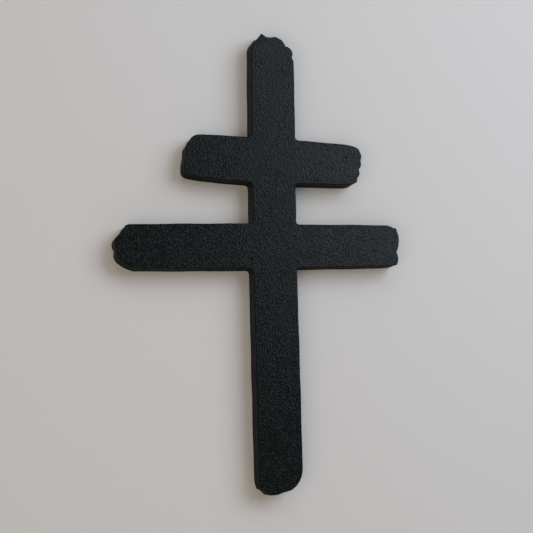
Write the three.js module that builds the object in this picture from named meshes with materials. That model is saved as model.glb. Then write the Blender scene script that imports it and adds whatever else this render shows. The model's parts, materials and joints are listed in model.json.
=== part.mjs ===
import * as THREE from 'three';

// A flat wall cross with two bars, made in one piece, with roughly broken ends.
// Millimetres, +Z up. The back lies on y = 0 against the wall and the front looks along -Y.
// The origin is on the back face, where the shaft crosses the long bar.

// Driving dimensions
const thickness = 10;
const rimChamfer = 0.4; // softened edge round the front and the back face
const innerFillet = 2; // rounding in the corners between the limbs
const sideBow = 0.1; // how far a side swells at its middle
const waver = 0.12; // how far the hand-drawn sides stray to and fro
const waverLength = 26; // distance from one swell of a side to the next
const sideStep = 6; // spacing of points along a side
const chipPieces = 4; // straight pieces in each rounded chip and corner

const shortBarHeight = 44.6; // the short bar's crossing, above the long bar's
const waistTop = 23; // shaft's width at the short bar
const waistFoot = 22.8; // shaft's width at the long bar

// Each limb runs out from its hub [x, z] along a heading in degrees from +X, to its full length.
// Its end is broken in chips, listed clockwise: [across, short, rise] is where a chip stops, as a
// distance to the left of the limb's axis and a distance short of its full length, and then how far
// the chip swells outwards. The first and last chips stop on the limb's two sides.
const head = {
  hub: [0.25, shortBarHeight],
  heading: 89.5,
  length: 67.9,
  rootWidth: 23.3,
  chips: [
    [11.4, 8, 0], [10.4, 4.8, 0.2], [8.7, 4, 0.2], [6.1, 0.3, -0.2], [3.4, 1.8, 0.1], [0.6, 1.9, -0.1],
    [-1.7, 1.4, 0.1], [-5.3, 3.1, 0.2], [-7.1, 6.1, 0.2], [-8.8, 6.5, 0.1], [-10.9, 9.2, 0.4],
    [-10.5, 11.9, 0.3], [-11.5, 14.2, 0.1],
  ],
};
const shortBarRight = {
  hub: [0.25, shortBarHeight],
  heading: -0.5,
  length: 48.1,
  rootWidth: 23.7,
  chips: [
    [10.8, 8.5, 0], [9.7, 3, 0.2], [7.4, 0.8, 0.5], [2.7, 0.5, 0.7], [-2.2, 1.6, 0.8],
    [-5.7, 1.6, 0.4], [-6.7, 2.4, 0], [-9.1, 2.9, 0.1], [-10.8, 9.5, 0.5],
  ],
};
const longBarRight = {
  hub: [0, -0.1],
  heading: 1.8,
  length: 67.7,
  rootWidth: 22.5,
  chips: [
    [10.8, 6.5, 0], [9.3, 2.1, 0.3], [8.8, 0.6, 0.3], [6.9, 0.2, 0], [4.9, -0.4, 0.1], [1.2, -0.2, 0.1],
    [-3.5, 1.4, 0.2], [-10.2, 1.6, 0.9], [-10.7, 7.5, 0.1],
  ],
};
const foot = {
  hub: [-0.3, 0],
  heading: 270.3,
  length: 124.5,
  rootWidth: 22.95,
  chips: [
    [11.4, 11.5, 0], [5.8, 2.1, 1.3], [0.6, 0.8, 0.1], [-2, -0.1, 0.1], [-6.1, -0.2, 0.1],
    [-9, 2.6, 0], [-10.1, 2.8, 0.1], [-11.3, 7.6, 0.2],
  ],
};
const longBarLeft = {
  hub: [0, 0.1],
  heading: 181.7,
  length: 82.3,
  rootWidth: 23.3,
  chips: [
    [11.3, 10.5, 0], [7, 2.2, 0.6], [1.3, 1.1, 0.9], [-5.4, 1.7, 1.5], [-8, 4.4, 0], [-10.3, 5.6, 0.2],
    [-11, 9, 0.3],
  ],
};
const shortBarLeft = {
  hub: [0.25, shortBarHeight - 0.4],
  heading: 178.35,
  length: 47.4,
  rootWidth: 24.2,
  chips: [
    [11.2, 10.2, 0], [10.3, 2.7, 0.1], [7.4, 0.3, 0.6], [0.6, 0.9, 0.3], [-3.9, 1, 0],
    [-7, 2.9, 0], [-9.4, 4, 0.2], [-11.1, 9, 0.5],
  ],
};

function onLimb(limb, along, across) {
  const turn = THREE.MathUtils.degToRad(limb.heading);
  const ahead = new THREE.Vector2(Math.cos(turn), Math.sin(turn));
  const left = new THREE.Vector2(-ahead.y, ahead.x);
  return new THREE.Vector2(...limb.hub).addScaledVector(ahead, along).addScaledVector(left, across);
}

// A stretch of the outline, walked clockwise: the lines it is entered and left along, and its chips
function limbStretch(limb) {
  const half = limb.rootWidth / 2;
  const stops = limb.chips.map(([across, short]) => onLimb(limb, limb.length - short, across));
  const rises = limb.chips.map(([, , rise]) => rise);
  const first = [onLimb(limb, 0, half), stops[0]];
  const last = [stops.at(-1), onLimb(limb, 0, -half)];
  return { first, last, stops, rises };
}

// The bare side of the shaft between the two bars, on the right (hand 1) or on the left (-1)
function waistStretch(hand) {
  const upper = new THREE.Vector2((hand * waistTop) / 2, shortBarHeight);
  const lower = new THREE.Vector2((hand * waistFoot) / 2, 0);
  const line = hand > 0 ? [upper, lower] : [lower, upper];
  return { first: line, last: line, stops: [], rises: [] };
}

// Where two lines cross, each given by two of its points
function crossing([a, b], [c, d]) {
  const run = b.clone().sub(a);
  const other = d.clone().sub(c);
  const share = c.clone().sub(a).cross(other) / run.cross(other);
  return a.clone().addScaledVector(run, share);
}

// Where a corner's rounding ends, on the way from the corner to another point
function filletEnd(corner, point) {
  const way = point.clone().sub(corner).normalize();
  return corner.clone().addScaledVector(way, innerFillet);
}

function leftOf(run) {
  return new THREE.Vector2(-run.y, run.x).normalize();
}

// A side drawn by hand: nearly straight, bowed a little outwards and straying to and fro
function drawSide(shape, from, to) {
  const run = to.clone().sub(from);
  const outward = leftOf(run);
  const pieces = Math.ceil(run.length() / sideStep);
  for (let i = 1; i <= pieces; i += 1) {
    const share = i / pieces;
    const stray = waver * Math.sin((2 * Math.PI * share * run.length()) / waverLength + from.x);
    const fade = Math.sin(Math.PI * share);
    const point = from.clone().addScaledVector(run, share).addScaledVector(outward, (sideBow + stray) * fade);
    shape.lineTo(point.x, point.y);
  }
}

// A chip from one point to the next: straight, or a shallow curve that rises outwards at its middle
function drawChip(shape, from, to, rise) {
  if (rise === 0) {
    shape.lineTo(to.x, to.y);
    return;
  }
  const outward = leftOf(to.clone().sub(from));
  const bend = from.clone().lerp(to, 0.5).addScaledVector(outward, 2 * rise);
  shape.quadraticCurveTo(bend.x, bend.y, to.x, to.y);
}

// The cross seen from the front: limbs and waist sides in turn, joined by rounded inner corners
function crossOutline() {
  const stretches = [
    limbStretch(head),
    limbStretch(shortBarRight),
    waistStretch(1),
    limbStretch(longBarRight),
    limbStretch(foot),
    limbStretch(longBarLeft),
    waistStretch(-1),
    limbStretch(shortBarLeft),
  ];
  const count = stretches.length;
  const corners = stretches.map((stretch, i) => crossing(stretches.at(i - 1).last, stretch.first));
  const starts = stretches.map(({ stops }, i) => filletEnd(corners[i], stops[0] ?? corners[(i + 1) % count]));

  const shape = new THREE.Shape();
  shape.moveTo(starts[0].x, starts[0].y);
  stretches.forEach(({ stops, rises }, i) => {
    const next = (i + 1) % count;
    const end = filletEnd(corners[next], stops.at(-1) ?? corners[i]);
    drawSide(shape, starts[i], stops[0] ?? end);
    for (let k = 1; k < stops.length; k += 1) {
      drawChip(shape, stops[k - 1], stops[k], rises[k]);
    }
    if (stops.length > 0) {
      drawSide(shape, stops.at(-1), end);
    }
    shape.quadraticCurveTo(corners[next].x, corners[next].y, starts[next].x, starts[next].y);
  });
  return shape;
}

// The slab: the outline carried from the wall to the front face, with both rims softened
const slab = new THREE.ExtrudeGeometry(crossOutline(), {
  depth: thickness - 2 * rimChamfer,
  steps: 1,
  curveSegments: chipPieces,
  bevelThickness: rimChamfer,
  bevelSize: rimChamfer,
  bevelOffset: -rimChamfer,
  bevelSegments: 1,
});
slab.translate(0, 0, rimChamfer);
slab.rotateX(Math.PI / 2);

const blackPlastic = new THREE.MeshStandardMaterial({ color: 0x232524, roughness: 0.6, metalness: 0 });

const cross = new THREE.Mesh(slab, blackPlastic);
cross.name = 'cross';

const wallCross = new THREE.Group();
wallCross.add(cross);

export default wallCross;
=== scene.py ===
import json
import math
import bpy
from mathutils import Matrix, Vector

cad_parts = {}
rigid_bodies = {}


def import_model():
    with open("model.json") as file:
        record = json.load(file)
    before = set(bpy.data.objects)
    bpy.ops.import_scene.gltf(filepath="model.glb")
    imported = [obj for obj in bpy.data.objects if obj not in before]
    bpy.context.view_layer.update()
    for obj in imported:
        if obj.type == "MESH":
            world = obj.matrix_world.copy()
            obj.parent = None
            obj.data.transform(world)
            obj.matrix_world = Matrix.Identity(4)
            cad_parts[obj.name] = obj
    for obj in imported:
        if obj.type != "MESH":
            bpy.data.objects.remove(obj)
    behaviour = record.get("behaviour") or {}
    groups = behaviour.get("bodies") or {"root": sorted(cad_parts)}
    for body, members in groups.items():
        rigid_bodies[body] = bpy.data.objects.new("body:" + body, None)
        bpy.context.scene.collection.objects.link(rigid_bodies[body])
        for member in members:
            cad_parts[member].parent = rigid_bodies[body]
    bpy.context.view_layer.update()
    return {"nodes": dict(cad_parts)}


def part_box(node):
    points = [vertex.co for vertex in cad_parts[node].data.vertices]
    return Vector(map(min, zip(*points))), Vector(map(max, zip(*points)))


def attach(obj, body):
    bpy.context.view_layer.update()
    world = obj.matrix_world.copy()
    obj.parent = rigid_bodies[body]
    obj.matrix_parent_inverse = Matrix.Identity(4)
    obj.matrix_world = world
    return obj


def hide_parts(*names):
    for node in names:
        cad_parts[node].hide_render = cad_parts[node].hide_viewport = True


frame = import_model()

mm = 0.001
print("frame loaded")


def hexLinear(code):
    parts = [int(code[i:i + 2], 16) / 255 for i in (1, 3, 5)]
    linear = [p / 12.92 if p <= 0.04045 else ((p + 0.055) / 1.055) ** 2.4 for p in parts]
    return (*linear, 1)


# adds one node: values go to its sockets or its own settings, links bring in other nodes' sockets
def addNode(tree, kind, values=None, links=None):
    node = tree.nodes.new(kind)
    for name, value in (values or {}).items():
        if isinstance(name, int) or name in node.inputs:
            node.inputs[name].default_value = value
        else:
            setattr(node, name, value)
    for name, socket in (links or {}).items():
        tree.links.new(socket, node.inputs[name])
    return node


def newMaterial(name):
    material = bpy.data.materials.new(name)
    material.use_nodes = True
    material.node_tree.nodes.clear()
    return material, material.node_tree


def pickOnly(obj):
    bpy.ops.object.select_all(action="DESELECT")
    obj.select_set(True)
    bpy.context.view_layer.objects.active = obj


def clearPicks(obj, kind):
    pickOnly(obj)
    bpy.ops.object.mode_set(mode="EDIT")
    bpy.ops.mesh.select_mode(type=kind)
    bpy.ops.mesh.select_all(action="DESELECT")
    bpy.ops.object.mode_set(mode="OBJECT")


def pickVertices(obj, wanted):
    clearPicks(obj, "VERT")
    for vertex in obj.data.vertices:
        vertex.select = wanted(vertex)


def pickFaces(obj, wanted):
    clearPicks(obj, "FACE")
    for face in obj.data.polygons:
        face.select = wanted(face)


# the cross: the solid's own form, with a grained front and fine grooves round its sides
crossLook = {
    "mergeGap": 0.001 * mm,
    "flatAngle": 0.5,  # degrees, the solid's triangles join into one face below this
    "cutMargin": 2 * mm,  # the cutting block stands out this far round the cross and behind it
    "grainCell": 0.42 * mm,  # spacing of the points that carry the front's grain
    "grainHeight": 0.032 * mm,
    "grainUpright": 0.8,  # how much of a point's move is straight in or out
    "grainSeed": 11,
    "pitShare": 0.17,  # share of the points that are sunk into pits between the grains
    "pitDepth": 0.06 * mm,
    "pitSeed": 5,
    "faceSink": 0.02 * mm,  # the front lies this far behind the solid's, to leave room for the grain
    "layer": 0.8 * mm,  # laid in layers of 0.2 mm, drawn four times as thick so that they show
    "layerGroove": 0.025 * mm,
    "plainRim": 0.6 * mm,  # the first and last rings stay this far from the front and the back
    "faceDepth": 0.2 * mm,  # faces no deeper than this belong to the front or the back
    "smoothAngle": 40,
}


# a block with a finely divided front, to cut the cross's front face into small cells
def makeBlock(look, low, high):
    margin = look["cutMargin"]
    side = max(high.x - low.x, high.z - low.z) + 2 * margin
    cells = round(side / look["grainCell"])
    centre = ((low.x + high.x) / 2, low.y + look["faceSink"], (low.z + high.z) / 2)
    bpy.ops.mesh.primitive_grid_add(x_subdivisions=cells, y_subdivisions=cells, size=side,
                                    location=centre, rotation=(math.pi / 2, 0, 0))
    block = bpy.context.object
    bpy.ops.object.transform_apply(location=True, rotation=True, scale=True)
    bpy.ops.object.mode_set(mode="EDIT")
    bpy.ops.mesh.select_mode(type="EDGE")
    bpy.ops.mesh.select_all(action="DESELECT")
    bpy.ops.mesh.select_non_manifold()
    depth = high.y - low.y + margin
    bpy.ops.mesh.extrude_edges_move(TRANSFORM_OT_translate={"value": (0, depth, 0)})
    bpy.ops.mesh.edge_face_add()
    bpy.ops.mesh.select_all(action="SELECT")
    bpy.ops.mesh.normals_make_consistent(inside=False)
    bpy.ops.object.mode_set(mode="OBJECT")
    return block


# rings round the sides, every second one drawn in a little
def grooveSides(look, low, high):
    bpy.ops.object.mode_set(mode="EDIT")
    step = look["layer"] / 2
    first = low.y + look["plainRim"]
    rings = round((high.y - low.y - 2 * look["plainRim"]) / step)
    for i in range(rings + 1):
        bpy.ops.mesh.select_all(action="SELECT")
        bpy.ops.mesh.bisect(plane_co=(0, first + i * step, 0), plane_no=(0, 1, 0))
        if i % 2 == 1:
            bpy.ops.transform.shrink_fatten(value=-look["layerGroove"])
    bpy.ops.object.mode_set(mode="OBJECT")


# every point of the front is moved a little, mostly in and out, and some sink into pits
def grainFront(cross, look, low):
    pickVertices(cross, lambda vertex: vertex.co.y < low.y + 2 * look["faceSink"])
    bpy.ops.object.mode_set(mode="EDIT")
    bpy.ops.mesh.select_less()  # the rim itself stays clean
    bpy.ops.transform.vertex_random(offset=look["grainHeight"], uniform=0,
                                    normal=look["grainUpright"], seed=look["grainSeed"])
    bpy.ops.mesh.hide(unselected=True)
    bpy.ops.mesh.select_all(action="DESELECT")
    bpy.ops.mesh.select_random(ratio=look["pitShare"], seed=look["pitSeed"])
    bpy.ops.transform.translate(value=(0, look["pitDepth"], 0))
    bpy.ops.mesh.reveal(select=False)
    bpy.ops.object.mode_set(mode="OBJECT")

    # each grain keeps its own flat facets, which catch the light one by one
    pickFaces(cross, lambda face: face.center.y < low.y + look["faceDepth"])
    bpy.ops.object.mode_set(mode="EDIT")
    bpy.ops.mesh.quads_convert_to_tris(quad_method="SHORTEST_DIAGONAL", ngon_method="BEAUTY")
    bpy.ops.mesh.faces_shade_flat()
    bpy.ops.object.mode_set(mode="OBJECT")


def makeCross(look):
    low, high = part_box("cross")
    node = frame["nodes"]["cross"]
    cross = bpy.data.objects.new("wallCross", node.data.copy())
    bpy.context.scene.collection.objects.link(cross)
    pickOnly(cross)
    bpy.ops.object.mode_set(mode="EDIT")
    bpy.ops.mesh.select_all(action="SELECT")
    bpy.ops.mesh.remove_doubles(threshold=look["mergeGap"])
    bpy.ops.mesh.dissolve_limited(angle_limit=math.radians(look["flatAngle"]))
    bpy.ops.object.mode_set(mode="OBJECT")

    block = makeBlock(look, low, high)
    pickOnly(cross)
    cut = cross.modifiers.new("frontCells", "BOOLEAN")
    cut.operation = "INTERSECT"
    cut.solver = "MANIFOLD"
    cut.object = block
    bpy.ops.object.modifier_apply(modifier=cut.name)
    bpy.data.objects.remove(block)
    print("front divided,", len(cross.data.polygons), "faces")

    grooveSides(look, low, high)
    print("sides layered,", len(cross.data.polygons), "faces")

    bpy.ops.object.shade_smooth_by_angle(angle=math.radians(look["smoothAngle"]))
    grainFront(cross, look, low)
    print("front grained,", len(cross.data.polygons), "faces")
    return cross


# black PLA, laid down hot in layers on a textured plate: a deep black with a dull, broken gloss.
# The plate leaves a sand-like grain on the front, the layers fine level lines on the sides,
# and the last layer slanting strokes on the back
plasticLook = {
    "ior": 1.46,
    "front": {"dark": "#0d1211", "light": "#131817", "shine": 0.19, "roughness": (0.15, 0.2),
              "mottle": 22 * mm},
    "side": {"dark": "#141716", "light": "#1f2221", "shine": 0.011, "roughness": (0.42, 0.54),
             "mottle": 5.5 * mm},
    "back": {"dark": "#151817", "light": "#282b2a", "shine": 0.2, "roughness": (0.36, 0.46),
             "mottle": 11 * mm},
    "colourStops": (0.3, 0.75),  # where in the pattern the dark ends and the light begins
    "glossStops": (0.3, 0.7),  # where in the pattern the dull ends and the glossy begins
    "grain": 0.9 * mm,
    "grainShare": 0.5,  # how far single grains set the front's shade, the mottle sets the rest
    "fineGrain": 0.4 * mm,
    "fineGrainHeight": 0.004 * mm,
    "layer": crossLook["layer"],
    "layerHeight": 0.012 * mm,
    "layerWaver": 0.3,
    "stroke": 1.8 * mm,  # strokes of 0.45 mm, drawn four times as wide to show
    "strokeHeight": 0.06 * mm,
    "strokeWaver": 0.4,
}
levelWave = 0.314  # a wave texture's bands lie this far apart at scale 1
slantWave = 0.444  # and its diagonal bands this far, seen along Y


# the plastic itself: where is a 0 to 1 pattern for its colour and gloss, height a relief in metres
def finishPlastic(tree, look, face, where, height):
    colour = addNode(tree, "ShaderNodeValToRGB", {}, {"Fac": where})
    stops = zip(colour.color_ramp.elements, look["colourStops"], (face["dark"], face["light"]))
    for element, position, code in stops:
        element.position = position
        element.color = hexLinear(code)
    glossy, dull = face["roughness"]
    start, end = look["glossStops"]
    dullness = addNode(tree, "ShaderNodeMapRange",
                       {"From Min": start, "From Max": end, "To Min": dull, "To Max": glossy},
                       {"Value": where})
    relief = addNode(tree, "ShaderNodeBump", {"Strength": 1, "Distance": 1}, {"Height": height})
    shader = addNode(tree, "ShaderNodeBsdfPrincipled",
                     {"IOR": look["ior"], "Specular IOR Level": face["shine"]},
                     {"Base Color": colour.outputs["Color"], "Roughness": dullness.outputs["Result"],
                      "Normal": relief.outputs["Normal"]})
    addNode(tree, "ShaderNodeOutputMaterial", {}, {"Surface": shader.outputs["BSDF"]})


def grainedPlastic(look):
    material, tree = newMaterial("blackPlaGrained")
    face = look["front"]
    share = look["grainShare"]
    place = addNode(tree, "ShaderNodeTexCoord").outputs["Object"]
    grains = addNode(tree, "ShaderNodeTexVoronoi", {"Scale": 1 / look["grain"]}, {"Vector": place})
    shade = addNode(tree, "ShaderNodeSeparateColor", {}, {"Color": grains.outputs["Color"]})
    mottle = addNode(tree, "ShaderNodeTexNoise",
                     {"Scale": 1 / face["mottle"], "Detail": 2}, {"Vector": place})
    rest = addNode(tree, "ShaderNodeMath",
                   {"operation": "MULTIPLY", 1: 1 - share}, {0: mottle.outputs["Fac"]})
    where = addNode(tree, "ShaderNodeMath", {"operation": "MULTIPLY_ADD", 1: share},
                    {0: shade.outputs["Red"], 2: rest.outputs[0]})
    fine = addNode(tree, "ShaderNodeTexNoise",
                   {"Scale": 1 / look["fineGrain"], "Detail": 2}, {"Vector": place})
    height = addNode(tree, "ShaderNodeMath", {"operation": "MULTIPLY", 1: look["fineGrainHeight"]},
                     {0: fine.outputs["Fac"]})
    finishPlastic(tree, look, face, where.outputs[0], height.outputs[0])
    return material


def layeredPlastic(look):
    material, tree = newMaterial("blackPlaLayered")
    face = look["side"]
    place = addNode(tree, "ShaderNodeTexCoord").outputs["Object"]
    mottle = addNode(tree, "ShaderNodeTexNoise",
                     {"Scale": 1 / face["mottle"], "Detail": 3}, {"Vector": place})
    layers = addNode(tree, "ShaderNodeTexWave",
                     {"bands_direction": "Y", "Scale": levelWave / look["layer"],
                      "Distortion": look["layerWaver"], "Detail": 1},
                     {"Vector": place})
    height = addNode(tree, "ShaderNodeMath", {"operation": "MULTIPLY", 1: look["layerHeight"]},
                     {0: layers.outputs["Fac"]})
    finishPlastic(tree, look, face, mottle.outputs["Fac"], height.outputs[0])
    return material


def strokedPlastic(look):
    material, tree = newMaterial("blackPlaStroked")
    face = look["back"]
    place = addNode(tree, "ShaderNodeTexCoord").outputs["Object"]
    mottle = addNode(tree, "ShaderNodeTexNoise",
                     {"Scale": 1 / face["mottle"], "Detail": 3}, {"Vector": place})
    strokes = addNode(tree, "ShaderNodeTexWave",
                      {"bands_direction": "DIAGONAL", "Scale": slantWave / look["stroke"],
                       "Distortion": look["strokeWaver"], "Detail": 1},
                      {"Vector": place})
    height = addNode(tree, "ShaderNodeMath", {"operation": "MULTIPLY", 1: look["strokeHeight"]},
                     {0: strokes.outputs["Fac"]})
    finishPlastic(tree, look, face, mottle.outputs["Fac"], height.outputs[0])
    return material


# all faces take the sides' finish first, then those at the front and at the back their own
def dressCross(cross, look, depth):
    low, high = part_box("cross")
    finishes = [
        (layeredPlastic, lambda face: True),
        (grainedPlastic, lambda face: face.center.y < low.y + depth),
        (strokedPlastic, lambda face: face.center.y > high.y - depth),
    ]
    cross.data.materials.clear()
    for index, (finish, wanted) in enumerate(finishes):
        cross.data.materials.append(finish(look))
        pickFaces(cross, wanted)
        bpy.ops.object.mode_set(mode="EDIT")
        cross.active_material_index = index
        bpy.ops.object.material_slot_assign()
        bpy.ops.object.mode_set(mode="OBJECT")


cross = makeCross(crossLook)
dressCross(cross, plasticLook, crossLook["faceDepth"])
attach(cross, "root")
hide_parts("cross")
print("cross dressed")


# stage: a pale backdrop close behind, clear from its back so that the cross's back can be seen, and a floor
stageLook = {
    "backdropColour": "#e8e5e3",
    "backdropSize": 2.2,
    "backdropGap": 0.3 * mm,
    "floorColour": "#dcdad6",
    "floorLevel": -1.1,
    "floorSize": 6,
}


def makeStage(look):
    bpy.ops.mesh.primitive_plane_add(size=look["backdropSize"], location=(0, look["backdropGap"], 0),
                                     rotation=(math.pi / 2, 0, 0))
    backdrop = bpy.context.object
    backdrop.name = "paleBackdrop"
    bpy.ops.object.transform_apply(location=True, rotation=True, scale=True)
    backdrop.visible_shadow = False
    # matt paint: even and pale, with no shine
    material, tree = newMaterial("paleBackdropPaint")
    paint = addNode(tree, "ShaderNodeBsdfDiffuse", {"Color": hexLinear(look["backdropColour"])})
    clear = addNode(tree, "ShaderNodeBsdfTransparent")
    sides = addNode(tree, "ShaderNodeNewGeometry")
    mixed = addNode(tree, "ShaderNodeMixShader", {},
                    {0: sides.outputs["Backfacing"], 1: paint.outputs[0], 2: clear.outputs[0]})
    addNode(tree, "ShaderNodeOutputMaterial", {}, {"Surface": mixed.outputs[0]})
    backdrop.data.materials.append(material)

    bpy.ops.mesh.primitive_plane_add(size=look["floorSize"], location=(0, 0, look["floorLevel"]))
    floor = bpy.context.object
    floor.name = "paleFloor"
    bpy.ops.object.transform_apply(location=True, rotation=True, scale=True)
    material, tree = newMaterial("paleFloorPaint")
    paint = addNode(tree, "ShaderNodeBsdfDiffuse", {"Color": hexLinear(look["floorColour"])})
    addNode(tree, "ShaderNodeOutputMaterial", {}, {"Surface": paint.outputs[0]})
    floor.data.materials.append(material)


makeStage(stageLook)
print("stage set")

# soft daylight from the upper right, a little from above, a warm bounce from the lower left,
# a light for the back, and a dim room
lampLook = {
    "window": {"azimuth": 40, "elevation": 23, "distance": 0.9, "width": 0.7, "height": 0.7,
               "power": 4.7, "colour": "#e3efff"},
    "overhead": {"azimuth": -10, "elevation": 50, "distance": 1.3, "width": 0.8, "height": 0.8,
                 "power": 1.6, "colour": "#ffffff"},
    "bounce": {"azimuth": -33, "elevation": -17, "distance": 1.3, "width": 1.2, "height": 0.7,
               "power": 3.7, "colour": "#ffeccd"},
    "behind": {"azimuth": 180, "elevation": 18, "distance": 1.3, "width": 2.6, "height": 1.0,
               "power": 20, "colour": "#fbfdff"},
}
roomLook = {"colour": "#ffffff", "strength": 0.16}


# the way out to a lamp or the camera: azimuth 0 is straight in front, and it grows to the right
def direction(azimuth, elevation):
    a = math.radians(azimuth)
    e = math.radians(elevation)
    return Vector((math.sin(a) * math.cos(e), -math.cos(a) * math.cos(e), math.sin(e)))


def makeLamps(lamps):
    for name, lamp in lamps.items():
        way = direction(lamp["azimuth"], lamp["elevation"])
        bpy.ops.object.light_add(type="AREA", location=way * lamp["distance"])
        light = bpy.context.object
        light.name = name + "Light"
        light.rotation_euler = way.to_track_quat("Z", "Y").to_euler()
        light.data.shape = "RECTANGLE"
        light.data.size = lamp["width"]
        light.data.size_y = lamp["height"]
        light.data.energy = lamp["power"]
        light.data.color = hexLinear(lamp["colour"])[:3]
        light.visible_camera = False


def makeRoom(look):
    room = bpy.data.worlds.new("softRoom")
    room.use_nodes = True
    ambient = room.node_tree.nodes["Background"]
    ambient.inputs["Color"].default_value = hexLinear(look["colour"])
    ambient.inputs["Strength"].default_value = look["strength"]
    bpy.context.scene.world = room


makeLamps(lampLook)
makeRoom(roomLook)
bpy.context.scene.view_settings.view_transform = "Standard"
print("light set")

# from the front, a little to the left and from below
cameraLook = {
    "aim": (-2.1 * mm, 0, -9.2 * mm),
    "azimuth": -16.5,
    "elevation": -8.5,
    "roll": -1.2,
    "distance": 610.5 * mm,
    "lens": 80,
    "sensor": 36,
}


def makeCamera(look):
    back = direction(look["azimuth"], look["elevation"])
    place = Vector(look["aim"]) + back * look["distance"]
    turn = (Matrix.Rotation(math.radians(look["azimuth"]), 4, "Z")
            @ Matrix.Rotation(math.radians(90 - look["elevation"]), 4, "X")
            @ Matrix.Rotation(math.radians(look["roll"]), 4, "Z"))
    bpy.ops.object.camera_add(location=place, rotation=turn.to_euler())
    camera = bpy.context.object
    camera.data.lens = look["lens"]
    camera.data.sensor_width = look["sensor"]
    bpy.context.scene.camera = camera


makeCamera(cameraLook)
print("camera set")
